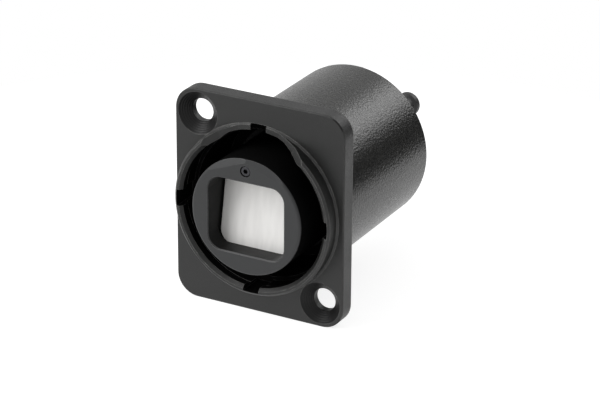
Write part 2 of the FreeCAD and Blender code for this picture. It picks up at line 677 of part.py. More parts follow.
# ---- the whole part ------------------------------------------------------------------------------
def sub_parts():
    """Every node's name and shape."""
    upper_port = lc_port()
    nodes = {
        "housing_shell": housing_shell(),
        "nose_body": nose_body(),
        "nose_seal": nose_seal(),
        "nose_screw": nose_screw(),
        "hinge_bracket": hinge_bracket(),
        "shutter_flap": shutter_flap(),
        "shutter_pin": shutter_pin(),
        "shutter_spring": shutter_spring(),
        "sleeve_block_front": block_half(MATING_PLANE, BLOCK_FRONT, MATING_PLANE - TOWER_REACH,
                                         MATING_PLANE, MATING_PLANE - SLEEVE_LENGTH / 2),
        "sleeve_block_rear": block_half(MATING_PLANE, BLOCK_BACK, MATING_PLANE + TOWER_REACH,
                                        MATING_PLANE, MATING_PLANE + SLEEVE_LENGTH / 2),
        "block_dowels": block_dowels(),
        "lc_port_upper": upper_port,
        "lc_port_lower": upper_port.mirror(ORIGIN, V(0, 0, 1)),
        "rear_carrier": rear_carrier(),
        "carrier_screws": carrier_screws(),
        "retaining_ring": retaining_ring(),
    }
    for number, (x, z) in enumerate(PORT_CENTRES, start=1):
        nodes["split_sleeve_%d" % number] = split_sleeve(x, z)
        nodes["dust_plug_%d" % number] = dust_plug(x, z)
    return nodes


def main():
    """Write one STEP file for each node."""
    os.makedirs("parts", exist_ok=True)
    for name, shape in sub_parts().items():
        shape.exportStep("parts/%s.step" % name)
        print("%-20s solids %d valid %s volume %.2f" % (name, len(shape.Solids), shape.isValid(), shape.Volume))


main()
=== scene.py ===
"""Looks of a four-channel fibre panel receptacle, laid out as a Blender add-on and run as a script.

Metres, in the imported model's frame: +Z is up, the mating axis is Y and the front faces -Y.
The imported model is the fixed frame. Each operator below dresses one group of its parts.
"""
import json
import math

import bmesh
import bpy
from bpy.props import FloatProperty, FloatVectorProperty, IntProperty, PointerProperty
from mathutils import Matrix, Vector


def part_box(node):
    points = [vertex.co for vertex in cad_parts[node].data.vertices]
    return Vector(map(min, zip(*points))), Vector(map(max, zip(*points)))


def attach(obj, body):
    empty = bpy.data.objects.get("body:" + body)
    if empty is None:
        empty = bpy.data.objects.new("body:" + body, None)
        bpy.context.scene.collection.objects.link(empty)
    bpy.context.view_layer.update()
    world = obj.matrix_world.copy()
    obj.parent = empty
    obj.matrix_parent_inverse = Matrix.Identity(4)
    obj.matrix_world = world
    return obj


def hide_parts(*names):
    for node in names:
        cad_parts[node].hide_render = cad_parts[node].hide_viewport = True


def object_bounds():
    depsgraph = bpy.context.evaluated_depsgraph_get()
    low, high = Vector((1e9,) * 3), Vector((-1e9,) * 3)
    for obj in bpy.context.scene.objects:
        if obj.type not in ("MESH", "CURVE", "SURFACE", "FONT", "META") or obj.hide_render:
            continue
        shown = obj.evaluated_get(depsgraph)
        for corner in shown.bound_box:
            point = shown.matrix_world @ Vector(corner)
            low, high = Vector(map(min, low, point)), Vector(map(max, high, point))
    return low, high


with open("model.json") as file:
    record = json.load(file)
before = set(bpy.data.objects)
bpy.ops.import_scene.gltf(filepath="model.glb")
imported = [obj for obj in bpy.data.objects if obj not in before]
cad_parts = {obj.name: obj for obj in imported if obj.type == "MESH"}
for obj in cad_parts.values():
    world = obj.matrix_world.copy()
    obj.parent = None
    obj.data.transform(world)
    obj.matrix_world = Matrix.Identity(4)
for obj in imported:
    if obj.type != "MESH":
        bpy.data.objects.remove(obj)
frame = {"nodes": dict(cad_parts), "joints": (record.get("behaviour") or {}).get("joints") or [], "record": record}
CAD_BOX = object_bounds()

bl_info = {
    "name": "Fibre Panel Receptacle",
    "version": (1, 0, 0),
    "blender": (4, 5, 0),
    "location": "View3D > Sidebar > Receptacle",
    "description": "Dresses the packed model of a flanged fibre receptacle with finishes and fine parts",
    "category": "Add Mesh",
}

MM = 0.001
FIXED_BODY = "receptacle"
FLAP_BODY = "flap"
MOUNTS = {mount["name"]: mount for mount in frame["record"]["mounts"]}
HINGE = frame["joints"][0]
PORT_CENTRES = [Vector(MOUNTS["lc_port_%d" % number]["pos_m"]) for number in range(1, 5)]

# Forms of the housing and the nose that the face tests go by.
FLANGE_DEPTH = 2.4 * MM
COLLAR_LIP = -4.22 * MM
GAP_REACH = 11.9 * MM
GAP_FLOOR = 8.1 * MM
KEYWAY_HALF = 1.2 * MM
KEYWAY_LOW = 11.0 * MM
SINK_REACH = 12.3 * MM
SINK_LIMIT = (12.6 * MM, 15.1 * MM)
SINK_SLOPE = (0.2, 0.95)
NOSE_REACH = 8.2 * MM
NOSE_EDGE = -5.7 * MM
STEEP = 0.2
SIDEWAYS = 0.3
INWARD = -0.2
OUTWARD = 0.9

# Grain of the housing, the width of its pale edge band (worn edges and painted highlight), and where along Y the
# fine grain gives way to the coarse.
GRAIN_CHANGE = 0.4 * MM
SHELL_RELIEF = 0.055 * MM
SHELL_EDGE_WEAR_AND_HIGHLIGHT = 0.16 * MM
FINE_SHARE = 0.8

# Turned rings of the countersinks, round the axes of the two flange screws.
SCREW_AT = (9.5 * MM, 0.0, 12.0 * MM)
RING_PITCH = 0.24 * MM
RING_DEPTH = 0.010 * MM

# How far forward of its solid the nose's screw shows, which makes it nearly flush.
SCREW_FORWARD = 0.24 * MM

# Ranges and ratios inside the shader groups. Scales are features for each metre.
NOISE_RANGE = (0.3, 0.7)
TONE_RANGE = (0.86, 1.14)
CLOUD_SCALE = 160.0
SPECK_SCALE = 5200.0
SPECK_RANGE = (0.70, 0.78)
FINE_RATIO = 1.7
FLECK_RANGE = (0.46, 0.66)
BEVEL_SAMPLES = 4
EDGE_WEAR_AND_HIGHLIGHT_RANGE = (0.995, 0.93)
RUB_SCALE = 900.0
RUB_RANGE = (0.35, 0.6)
BROAD_RATIO = 0.12
DULL_RATIO = 0.93
PLASTIC_SPREAD = 0.05
METAL_SPREAD = 0.06

# Mesh clean-up.
MERGE_DISTANCE = 2e-7
FLAT_ANGLE = math.radians(0.4)
EDGE_ANGLE = math.radians(30)
ROUND_SEGMENTS = 2

# Fineness of the grown pieces, and the sleeves' corners as a share of their wall.
COIL_STEPS = 40
WIRE_SIDES = 14
SLEEVE_STEPS = 64
CORNER_STEPS = 3
CORNER_RATIO = 0.2

# The studio. The flag is a dark patch of the surround that shows in glosses only.
LAMP_AIM = Vector((0.0, 0.008, 0.0))
KEY_PLACE = Vector((-0.30, -0.25, 0.30))
KEY_SIZE = 0.34
BACK_PLACE = LAMP_AIM + 0.45 * Vector((0.297, 0.816, 0.497))
BACK_SIZE = 0.20
FLAG_WAY = (0.57, 0.816, 0.09)
FLAG_RANGE = (0.84, 0.97)
FLOOR_SEGMENTS = 96


# ---- settings ------------------------------------------------------------------------------------
def length_setting(name, description, default):
    """A length that a user may change."""
    return FloatProperty(name=name, description=description, default=default, unit="LENGTH", precision=5)


def colour_setting(name, description, default):
    """A colour that a user may change, in linear light."""
    return FloatVectorProperty(name=name, description=description, default=default, subtype="COLOR",
                               size=3, min=0.0, max=1.0)


class MouldingSettings(bpy.types.PropertyGroup):
    """Edges, grain and colours of the moulded parts."""
    edge_round: length_setting("Edge round", "Rounding left on a moulded edge", 0.00009)
    small_edge_round: length_setting("Small edge round", "Rounding on the edges of small parts", 0.00004)
    coarse_pitch: length_setting("Coarse grain", "Pitch of the spark-eroded grain on the barrel", 0.00028)
    fine_pitch: length_setting("Fine grain", "Pitch of the fine grain on the other mouldings", 0.00012)
    shell: colour_setting("Shell", "Flange and collar", (0.0090, 0.0092, 0.0088))
    barrel: colour_setting("Barrel", "Barrel between the flecks of its grain", (0.005, 0.005, 0.0048))
    fleck: colour_setting("Flecks", "Paler flecks in the barrel's grain", (0.060, 0.060, 0.056))
    # Painted highlight as well as wear: the pale edge colour of the flange and collar stands for rubbed edges and
    # for the thin highlights their rounds catch.
    shell_edge_wear_and_highlight: colour_setting("Worn shell", "Rubbed edges of the flange and collar", (0.16, 0.16, 0.152))
    # Painted highlight as well as wear: the pale edge colour of the other mouldings.
    worn_and_highlight: colour_setting("Worn", "Rubbed edges of the other mouldings", (0.20, 0.20, 0.20))
    # Painted highlight as well as wear: the paler edge colour of the rubber ring.
    seal_edge_wear_and_highlight: colour_setting("Worn seal", "Rubbed edges of the rubber ring", (0.03, 0.03, 0.03))
    # Painted shade: near black, standing in for the shaded depth of the upper keyway's cut.
    keyway_painted_shade: colour_setting("Keyway", "Upper keyway, which cuts through the collar", (0.001, 0.001, 0.001))
    # Painted shade: a near-black colour for the walls of the coupling gap and keyways, which lie in shadow.
    gap_painted_shade: colour_setting("Recess", "Walls of the coupling gap and keyways", (0.003, 0.003, 0.003))
    # Painted shade: a darker copy of the nose's colour for the walls of the window, which lie in shadow.
    inset: colour_setting("Inset", "Walls of the window", (0.0075, 0.0075, 0.0075))
    # Painted shade: darker than the flange, standing in for the shade in the countersink hollows.
    countersink_painted_shade: colour_setting("Countersinks", "Turned cones of the screw holes", (0.0055, 0.0055, 0.0055))
    nose: colour_setting("Nose", "Round insert with the window", (0.022, 0.023, 0.024))
    port: colour_setting("Ports", "LC port mouldings", (0.03, 0.032, 0.035))
    block: colour_setting("Sleeve block", "Plates that hold the split sleeves", (0.10, 0.105, 0.115))
    plug: colour_setting("Dust plugs", "Soft moulded plugs in the ports", (0.013, 0.013, 0.0135))
    seal: colour_setting("Seal", "Rubber ring round the nose", (0.008, 0.008, 0.008))
    ceramic: colour_setting("Sleeves", "Polished zirconia of the split sleeves", (0.80, 0.78, 0.72))


class MetalSettings(bpy.types.PropertyGroup):
    """Colours of the metal parts."""
    flap: colour_setting("Flap", "Bright rolled sheet of the shutter", (0.95, 0.94, 0.92))
    bright: colour_setting("Pins", "Pins, screws, spring and ring", (0.50, 0.50, 0.51))
    dark: colour_setting("Blackened", "Hinge bracket and nose screw", (0.06, 0.06, 0.065))


class SpringSettings(bpy.types.PropertyGroup):
    """Torsion spring round the hinge pin."""
    wire: length_setting("Wire", "Radius of the wire", 0.00012)
    coil: length_setting("Coil", "Radius of the coil's centre line", 0.00056)
    pitch: length_setting("Pitch", "Advance for each turn", 0.00032)
    turns: IntProperty(name="Turns", description="Whole turns of the coil", default=5, min=1)
    lean: FloatProperty(name="Lean", description="Angle of the coil beyond its whole turns",
                        default=math.radians(25), subtype="ANGLE")
    tail: length_setting("Tail", "Length of the end in the bracket's roof", 0.0016)
    leg: length_setting("Leg", "Length of the end that presses on the flap", 0.0008)


class SleeveSettings(bpy.types.PropertyGroup):
    """Split sleeves that line up the ferrules."""
    middle: length_setting("Middle", "Radius to the middle of the wall", 0.0007175)
    wall: length_setting("Wall", "Thickness of the wall", 0.000185)
    slot: length_setting("Slot", "Width of the lengthwise slot", 0.0002)


class StudioSettings(bpy.types.PropertyGroup):
    """Camera, lamps and floor."""
    azimuth: FloatProperty(name="Azimuth", description="Camera's turn about +Z, 0 looking along +Y",
                           default=math.radians(28.626), subtype="ANGLE")
    elevation: FloatProperty(name="Elevation", description="Camera's height above the horizon",
                             default=math.radians(23.363), subtype="ANGLE")
    roll: FloatProperty(name="Roll", description="Camera's turn about its own axis",
                        default=math.radians(0.363), subtype="ANGLE")
    distance: length_setting("Distance", "From the camera to the plane through the origin", 0.365335)
    aim_right: length_setting("Aim right", "How far right of the origin the camera aims", 0.0044107)
    aim_up: length_setting("Aim up", "How far above the origin the camera aims", 0.0003017)
    lens: FloatProperty(name="Lens", description="Focal length in millimetres", default=161.17)
    surround: FloatProperty(name="Surround", description="Strength of the even light all round",
                            default=0.5)
    gloss: FloatProperty(name="Gloss", description="Strength of the surround where it shows in a gloss",
                         default=0.79)
    flag: FloatProperty(name="Flag", description="Strength left in a gloss where the dark flag stands",
                        default=0.03)
    key_light: FloatProperty(name="Key", description="Power of the large lamp above on the left",
                             default=1.6, unit="POWER")
    back_light: FloatProperty(name="Back", description="Power of the lamp behind, over the barrel",
                              default=0.42, unit="POWER")
    floor_radius: length_setting("Floor", "Radius of the floor", 0.095)
    floor_colour: colour_setting("Floor colour", "Plain pale floor", (0.5, 0.5, 0.5))
    floor_lift: FloatProperty(name="Floor lift", description="Plain white added where the floor is seen",
                              default=0.78)


# ---- node helpers --------------------------------------------------------------------------------
def feed(tree, socket, value):
    """Links an output to an input, or sets the input's value."""
    if isinstance(value, bpy.types.NodeSocket):
        tree.links.new(value, socket)
    else:
        socket.default_value = value


def add_node(tree, kind, inputs=(), **settings):
    """A node of one kind, with its settings and its inputs by name or number."""
    made = tree.nodes.new(kind)
    for key, value in settings.items():
        setattr(made, key, value)
    for key, value in dict(inputs).items():
        feed(tree, made.inputs[key], value)
    return made


def calc(tree, operation, first, second=0.0, clamp=False):
    """The result of one sum on two values."""
    inputs = {0: first, 1: second}
    return add_node(tree, "ShaderNodeMath", inputs, operation=operation, use_clamp=clamp).outputs[0]


def product(tree, *values):
    """Several values multiplied together."""
    result = values[0]
    for value in values[1:]:
        result = calc(tree, "MULTIPLY", result, value)
    return result


def vector_calc(tree, operation, first, second=(0.0, 0.0, 0.0)):
    """The node that makes one sum on two vectors."""
    return add_node(tree, "ShaderNodeVectorMath", {0: first, 1: second}, operation=operation)


def vector_of(tree, parts):
    """A vector from its parts by number, with the others 0."""
    return add_node(tree, "ShaderNodeCombineXYZ", parts).outputs[0]


def noise(tree, vector, scale, detail, **inputs):
    """A noise pattern."""
    return add_node(tree, "ShaderNodeTexNoise", {
        "Vector": vector, "Scale": scale, "Detail": detail, **inputs}).outputs[0]


def blend_values(tree, factor, low, high):
    """A value between two others."""
    return add_node(tree, "ShaderNodeMix", {0: factor, 2: low, 3: high}, data_type="FLOAT").outputs[0]


def blend_colours(tree, factor, low, high):
    """A colour between two others."""
    return add_node(tree, "ShaderNodeMix", {0: factor, 6: low, 7: high}, data_type="RGBA").outputs[2]


def rescale(tree, value, low, high, to_low, to_high):
    """A value carried smoothly from one range to another."""
    inputs = {"Value": value, "From Min": low, "From Max": high, "To Min": to_low, "To Max": to_high}
    return add_node(tree, "ShaderNodeMapRange", inputs, interpolation_type="SMOOTHSTEP").outputs[0]


def vary(tree, value, middle, spread):
    """A value of noise carried to a range on both sides of a middle."""
    return rescale(tree, value, *NOISE_RANGE, middle - spread, middle + spread)


def opaque(colour):
    """A colour with full alpha."""
    return (*colour, 1.0)


def new_group(name, kind, inputs, outputs):
    """An empty node group with its sockets, and its input and output nodes."""
    tree = bpy.data.node_groups.new(name, kind)
    for label, socket_type, default in inputs:
        socket = tree.interface.new_socket(name=label, in_out="INPUT", socket_type=socket_type)
        if default is not None:
            socket.default_value = default
    for label, socket_type in outputs:
        tree.interface.new_socket(name=label, in_out="OUTPUT", socket_type=socket_type)
    return tree, add_node(tree, "NodeGroupInput"), add_node(tree, "NodeGroupOutput")


def use_group(tree, name, inputs):
    """A placed node group with its own values."""
    group = bpy.data.node_groups[name]
    return add_node(tree, "ShaderNodeGroup", numbered(group, inputs), node_tree=group)


def numbered(group, inputs):
    """Input values by their number in a node group instead of their name."""
    labels = [item.name for item in group.interface.items_tree if item.in_out == "INPUT"]
    return {labels.index(label): value for label, value in inputs.items()}


# ---- shader groups -------------------------------------------------------------------------------
def build_grain_group():
    """Spark-eroded grain: soft pits over a fine roughness, with flecks that glint."""
    tree, given, result = new_group(
        "Spark Grain", "ShaderNodeTree",
        [("Vector", "NodeSocketVector", None), ("Pitch", "NodeSocketFloat", 0.0002),
         ("Contrast", "NodeSocketFloat", 0.5)],
        [("Height", "NodeSocketFloat"), ("Fleck", "NodeSocketFloat")])
    place = given.outputs["Vector"]
    scale = calc(tree, "DIVIDE", 1.0, given.outputs["Pitch"])
    pits = add_node(tree, "ShaderNodeTexVoronoi", {"Vector": place, "Scale": scale, "Smoothness": 1.0},
                    feature="SMOOTH_F1")
    fine = noise(tree, place, product(tree, scale, FINE_RATIO), 3.0, Roughness=0.6)
    height = blend_values(tree, given.outputs["Contrast"], fine, pits.outputs["Distance"])
    fleck = rescale(tree, fine, *FLECK_RANGE, 0.0, 1.0)
    feed(tree, result.inputs["Height"], height)
    feed(tree, result.inputs["Fleck"], fleck)


def build_tone_group():
    """Slow change of tone over a moulding, with a few paler specks of dust."""
    tree, given, result = new_group(
        "Moulded Tone", "ShaderNodeTree",
        [("Vector", "NodeSocketVector", None), ("Color", "NodeSocketColor", None),
         ("Dust Color", "NodeSocketColor", (0.3, 0.3, 0.29, 1.0)), ("Dust", "NodeSocketFloat", 0.1)],
        [("Color", "NodeSocketColor"), ("Cloud", "NodeSocketFloat")])
    cloud = noise(tree, given.outputs["Vector"], CLOUD_SCALE, 4.0)
    specks = noise(tree, given.outputs["Vector"], SPECK_SCALE, 2.0)
    amount = product(tree, rescale(tree, specks, *SPECK_RANGE, 0.0, 1.0), given.outputs["Dust"])
    shaded = vector_calc(tree, "SCALE", given.outputs["Color"])
    feed(tree, shaded.inputs["Scale"], rescale(tree, cloud, *NOISE_RANGE, *TONE_RANGE))
    dusty = blend_colours(tree, amount, shaded.outputs[0], given.outputs["Dust Color"])
    feed(tree, result.inputs["Color"], dusty)
    feed(tree, result.inputs["Cloud"], cloud)


def build_wear_group():
    """Softly rounded edges, paler where the rounded normal leaves the true one: partly rubbed by handling, partly
    a painted highlight along the edge.
    """
    tree, given, result = new_group(
        "Edge Wear", "ShaderNodeTree",
        [("Vector", "NodeSocketVector", None), ("Color", "NodeSocketColor", None),
         ("Worn Color", "NodeSocketColor", (0.2, 0.2, 0.2, 1.0)), ("Width", "NodeSocketFloat", 0.0002),
         ("Amount", "NodeSocketFloat", 0.5)],
        [("Color", "NodeSocketColor"), ("Normal", "NodeSocketVector")])
    bevel = add_node(tree, "ShaderNodeBevel", {"Radius": given.outputs["Width"]}, samples=BEVEL_SAMPLES)
    rounded = bevel.outputs[0]
    true = add_node(tree, "ShaderNodeNewGeometry").outputs["True Normal"]
    likeness = vector_calc(tree, "DOT_PRODUCT", rounded, true).outputs["Value"]
    edge = rescale(tree, likeness, *EDGE_WEAR_AND_HIGHLIGHT_RANGE, 0.0, 1.0)
    rubbed = rescale(tree, noise(tree, given.outputs["Vector"], RUB_SCALE, 3.0), *RUB_RANGE, 0.2, 1.0)
    mask = calc(tree, "MULTIPLY", product(tree, edge, rubbed), given.outputs["Amount"], clamp=True)
    # Paler colour on the edge band: partly rubbed wear, partly a painted highlight.
    worn_and_highlight = blend_colours(tree, mask, given.outputs["Color"], given.outputs["Worn Color"])
    feed(tree, result.inputs["Color"], worn_and_highlight)
    feed(tree, result.inputs["Normal"], rounded)


def build_drawn_group():
    """Fine lines left by rolling, drawing or turning, with a change of tone along them."""
    tree, given, result = new_group(
        "Drawn Lines", "ShaderNodeTree",
        [("Vector", "NodeSocketVector", None), ("Stretch", "NodeSocketVector", (1.0, 1.0, 1.0)),
         ("Pitch", "NodeSocketFloat", 0.00005)],
        [("Height", "NodeSocketFloat"), ("Tone", "NodeSocketFloat")])
    drawn = vector_calc(tree, "MULTIPLY", given.outputs["Vector"], given.outputs["Stretch"]).outputs[0]
    scale = calc(tree, "DIVIDE", 1.0, given.outputs["Pitch"])
    feed(tree, result.inputs["Height"], noise(tree, drawn, scale, 3.0))
    feed(tree, result.inputs["Tone"], noise(tree, drawn, product(tree, scale, BROAD_RATIO), 2.0))


def build_shader_groups():
    """Every effect that more than one finish uses."""
    build_grain_group()
    build_tone_group()
    build_wear_group()
    build_drawn_group()


# ---- finishes ------------------------------------------------------------------------------------
def new_finish(name):
    """A material with an empty tree, its output and the object's own coordinates."""
    material = bpy.data.materials.new(name)
    material.use_nodes = True
    tree = material.node_tree
    tree.nodes.clear()
    output = add_node(tree, "ShaderNodeOutputMaterial")
    place = add_node(tree, "ShaderNodeTexCoord").outputs["Object"]
    return material, tree, output, place


def end_finish(tree, output, inputs):
    """Closes a material with its shader."""
    feed(tree, output.inputs["Surface"], add_node(tree, "ShaderNodeBsdfPrincipled", inputs).outputs[0])


def moulded_finish(name, colour, worn_and_highlight, pitch, relief, roughness, dust=0.06, gloss=0.5):
    """Moulded plastic with one even grain."""
    material, tree, output, place = new_finish(name)
    tone = use_group(tree, "Moulded Tone", {"Vector": place, "Color": opaque(colour), "Dust": dust})
    # Pale edges: partly rubbed wear, partly a painted highlight along the edges.
    wear = use_group(tree, "Edge Wear", {
        "Vector": place, "Color": tone.outputs["Color"], "Worn Color": opaque(worn_and_highlight),
        "Width": pitch, "Amount": 0.5})
    grain = use_group(tree, "Spark Grain", {"Vector": place, "Pitch": pitch, "Contrast": 0.35})
    bump = add_node(tree, "ShaderNodeBump", {
        "Height": grain.outputs["Height"], "Strength": 0.6, "Distance": relief,
        "Normal": wear.outputs["Normal"]})
    rough = vary(tree, tone.outputs["Cloud"], roughness, PLASTIC_SPREAD)
    end_finish(tree, output, {
        "Base Color": wear.outputs["Color"], "Roughness": rough, "Specular IOR Level": gloss,
        "Normal": bump.outputs[0]})
    return material


def shell_finish(moulding):
    """Black glass-filled moulding: fine grain in front, coarse grain with flecks on the barrel."""
    material, tree, output, place = new_finish("shell_moulding")
    spot = add_node(tree, "ShaderNodeSeparateXYZ", {0: place}).outputs
    behind = rescale(tree, spot["Y"], 0.0, GRAIN_CHANGE, 0.0, 1.0)
    keyway_painted_shade = in_upper_keyway(tree, spot)
    tone = use_group(tree, "Moulded Tone", {"Vector": place, "Color": opaque(moulding.shell), "Dust": 0.05})
    # Pale edge lines on the flange and collar: partly rubbed wear, partly a painted highlight.
    wear = use_group(tree, "Edge Wear", {
        "Vector": place, "Color": tone.outputs["Color"], "Worn Color": opaque(moulding.shell_edge_wear_and_highlight),
        "Width": SHELL_EDGE_WEAR_AND_HIGHLIGHT, "Amount": 0.9})
    fine = use_group(tree, "Spark Grain", {
        "Vector": place, "Pitch": moulding.fine_pitch, "Contrast": 0.3})
    coarse = use_group(tree, "Spark Grain", {
        "Vector": place, "Pitch": moulding.coarse_pitch, "Contrast": 0.7})
    front = product(tree, fine.outputs["Height"], FINE_SHARE)
    height = blend_values(tree, behind, front, coarse.outputs["Height"])
    bump = add_node(tree, "ShaderNodeBump", {
        "Height": height, "Strength": 1.0, "Distance": SHELL_RELIEF, "Normal": wear.outputs["Normal"]})
    ground = blend_colours(tree, behind, wear.outputs["Color"], opaque(moulding.barrel))
    fleck = product(tree, behind, coarse.outputs["Fleck"])
    flecked = blend_colours(tree, fleck, ground, opaque(moulding.fleck))
    gloss = rescale(tree, behind, 0.0, 1.0, 0.5, 0.45)
    front_rough = rescale(tree, tone.outputs["Cloud"], *NOISE_RANGE, 0.40, 0.48)
    barrel_rough = rescale(tree, coarse.outputs["Fleck"], 0.0, 1.0, 0.30, 0.20)
    end_finish(tree, output, {
        # Painted shade: the upper keyway's wall takes a near-black colour and no gloss, in place of the shaded
        # cut.
        "Base Color": blend_colours(tree, keyway_painted_shade, flecked, opaque(moulding.keyway_painted_shade)),
        "Roughness": blend_values(tree, behind, front_rough, barrel_rough),
        "Specular IOR Level": product(tree, gloss, calc(tree, "SUBTRACT", 1.0, keyway_painted_shade)),
        "Normal": bump.outputs[0]})
    return material


def in_upper_keyway(tree, spot):
    """1 on the thin wall that closes the upper keyway in the solid, where near-black painted shade stands in for
    the shaded depth of the missing cut.
    """
    beside = calc(tree, "LESS_THAN", calc(tree, "ABSOLUTE", spot["X"]), KEYWAY_HALF)
    above = calc(tree, "GREATER_THAN", spot["Z"], KEYWAY_LOW)
    return product(tree, beside, above, calc(tree, "LESS_THAN", spot["Y"], -FLANGE_DEPTH))


def turned_finish(moulding):
    """Cones of the countersinks, with fine rings round the axis of each screw, in a colour darker than the
    flange's that is painted shade in these hollows.
    """
    material, tree, output, place = new_finish("countersink_painted_shade_moulding")
    mirrored = vector_calc(tree, "ABSOLUTE", place).outputs[0]
    flat = vector_calc(tree, "MULTIPLY", mirrored, (1.0, 0.0, 1.0)).outputs[0]
    reach = vector_calc(tree, "DISTANCE", flat, SCREW_AT).outputs["Value"]
    rings = calc(tree, "SINE", product(tree, reach, math.tau / RING_PITCH))
    tone = use_group(tree, "Moulded Tone", {"Vector": place, "Color": opaque(moulding.countersink_painted_shade), "Dust": 0.0})
    bump = add_node(tree, "ShaderNodeBump", {"Height": rings, "Strength": 1.0, "Distance": RING_DEPTH})
    # The darker colour and lower gloss here are painted shade; the rings are real turning marks.
    end_finish(tree, output, {
        "Base Color": tone.outputs["Color"], "Roughness": 0.42, "Specular IOR Level": 0.25,
        "Normal": bump.outputs[0]})
    return material


def metal_finish(name, colour, stretch, pitch, relief, roughness, metallic=1.0):
    """Rolled, drawn or turned metal."""
    material, tree, output, place = new_finish(name)
    drawn = use_group(tree, "Drawn Lines", {"Vector": place, "Stretch": stretch, "Pitch": pitch})
    dull = tuple(DULL_RATIO * part for part in colour)
    tint = rescale(tree, drawn.outputs["Tone"], *NOISE_RANGE, 0.0, 1.0)
    rough = vary(tree, drawn.outputs["Height"], roughness, METAL_SPREAD)
    bump = add_node(tree, "ShaderNodeBump", {
        "Height": drawn.outputs["Height"], "Strength": 0.35, "Distance": relief})
    end_finish(tree, output, {
        "Base Color": blend_colours(tree, tint, opaque(dull), opaque(colour)), "Metallic": metallic,
        "Roughness": rough, "Normal": bump.outputs[0]})
    return material


def ceramic_finish(moulding):
    """Ground and polished zirconia."""
    material, tree, output, place = new_finish("sleeve_zirconia")
    tone = use_group(tree, "Moulded Tone", {
        "Vector": place, "Color": opaque(moulding.ceramic), "Dust": 0.0})
    ground = use_group(tree, "Drawn Lines", {
        "Vector": place, "Stretch": (1.0, 0.02, 1.0), "Pitch": 0.03 * MM})
    bump = add_node(tree, "ShaderNodeBump", {
        "Height": ground.outputs["Height"], "Strength": 0.15, "Distance": 0.004 * MM})
    rough = rescale(tree, ground.outputs["Tone"], *NOISE_RANGE, 0.10, 0.18)
    end_finish(tree, output, {
        "Base Color": tone.outputs["Color"], "Roughness": rough, "Specular IOR Level": 0.8,
        "Normal": bump.outputs[0]})
    return material


def build_finishes(moulding, metal):
    """Every material of the part, by its short name."""
    plain = moulding.worn_and_highlight
    mouldings = (
        # short name, material, colour, worn edges with painted highlight, relief in mm, roughness, what differs
        # from the usual
        # The gap walls take a near-black colour with almost no gloss: painted shade in the deep gap.
        ("gap_painted_shade", "gap_painted_shade_moulding", moulding.gap_painted_shade, plain, 0.010, 0.60, {"dust": 0.0, "gloss": 0.05}),
        # The window walls take a darker colour with little gloss: painted shade inside the window.
        ("inset", "window_painted_shade_moulding", moulding.inset, plain, 0.010, 0.50, {"dust": 0.0, "gloss": 0.10}),
        ("nose", "nose_moulding", moulding.nose, plain, 0.008, 0.46, {}),
        ("port", "port_moulding", moulding.port, plain, 0.006, 0.42, {}),
        ("block", "block_moulding", moulding.block, plain, 0.006, 0.45, {}),
        ("plug", "plug_moulding", moulding.plug, plain, 0.010, 0.50, {}),
        ("seal", "seal_rubber", moulding.seal, moulding.seal_edge_wear_and_highlight, 0.010, 0.62, {"gloss": 0.35}),
    )
    metals = (
        # short name, material, colour, stretch of the lines, pitch and relief in mm, roughness, the rest
        ("flap", "flap_sheet", metal.flap, (1.0, 1.0, 0.1), 0.12, 0.0004, 0.50, {"metallic": 0.50}),
        ("bright", "bright_steel", metal.bright, (1.0, 0.06, 1.0), 0.05, 0.003, 0.30, {}),
        ("dark", "blackened_steel", metal.dark, (1.0, 1.0, 1.0), 0.08, 0.004, 0.42, {}),
    )
    built = {
        "shell": shell_finish(moulding),
        "countersink_painted_shade": turned_finish(moulding),
        "ceramic": ceramic_finish(moulding),
    }
    fine = moulding.fine_pitch
    for short, name, colour, worn_and_highlight, relief, roughness, extra in mouldings:
        built[short] = moulded_finish(name, colour, worn_and_highlight, fine, relief * MM, roughness, **extra)
    for short, name, colour, stretch, pitch, relief, roughness, extra in metals:
        built[short] = metal_finish(name, colour, stretch, pitch * MM, relief * MM, roughness, **extra)
    return built


# The full names of the built materials, by their short names.
FINISH_NAMES = {}


def finish_of(short_name):
    """A material that is already built."""
    return bpy.data.materials[FINISH_NAMES[short_name]]


# ---- mesh helpers --------------------------------------------------------------------------------
def solid_copy(node):
    """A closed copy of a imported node's mesh, with its flat faces whole again."""
    mesh = frame["nodes"][node].data.copy()
    work = bmesh.new()
    work.from_mesh(mesh)
    bmesh.ops.remove_doubles(work, verts=work.verts, dist=MERGE_DISTANCE)
    bmesh.ops.dissolve_limit(work, angle_limit=FLAT_ANGLE, verts=work.verts, edges=work.edges)
    for face in work.faces:
        face.smooth = True
        face.material_index = 0
    work.to_mesh(mesh)
    work.free()
    for stale in ("custom_normal", "sharp_edge"):
        if stale in mesh.attributes:
            mesh.attributes.remove(mesh.attributes[stale])
    mesh.set_sharp_from_angle(angle=EDGE_ANGLE)
    return mesh


def show(name, mesh, finish):
    """An object at the origin that shows a mesh in one finish."""
    mesh.name = name
    mesh.materials.clear()
    mesh.materials.append(finish_of(finish))
    made = bpy.data.objects.new(name, mesh)
    bpy.context.scene.collection.objects.link(made)
    return made


def round_edges(piece, width):
    """Rounds the sharp edges of a piece and keeps its flats flat."""
    bevel = piece.modifiers.new("moulded_edge", "BEVEL")
    bevel.width = width
    bevel.segments = ROUND_SEGMENTS
    bevel.limit_method = "ANGLE"
    bevel.angle_limit = EDGE_ANGLE
    bevel.miter_outer = "MITER_ARC"
    bevel.use_clamp_overlap = False
    bevel.harden_normals = True
    settle(piece)


def settle(piece):
    """Turns a piece with modifiers into a plain mesh."""
    graph = bpy.context.evaluated_depsgraph_get()
    plain = bpy.data.meshes.new_from_object(piece.evaluated_get(graph))
    if not plain.polygons:
        raise RuntimeError("%s came out with no faces" % piece.name)
    plain.name = piece.name
    piece.modifiers.clear()
    piece.data = plain


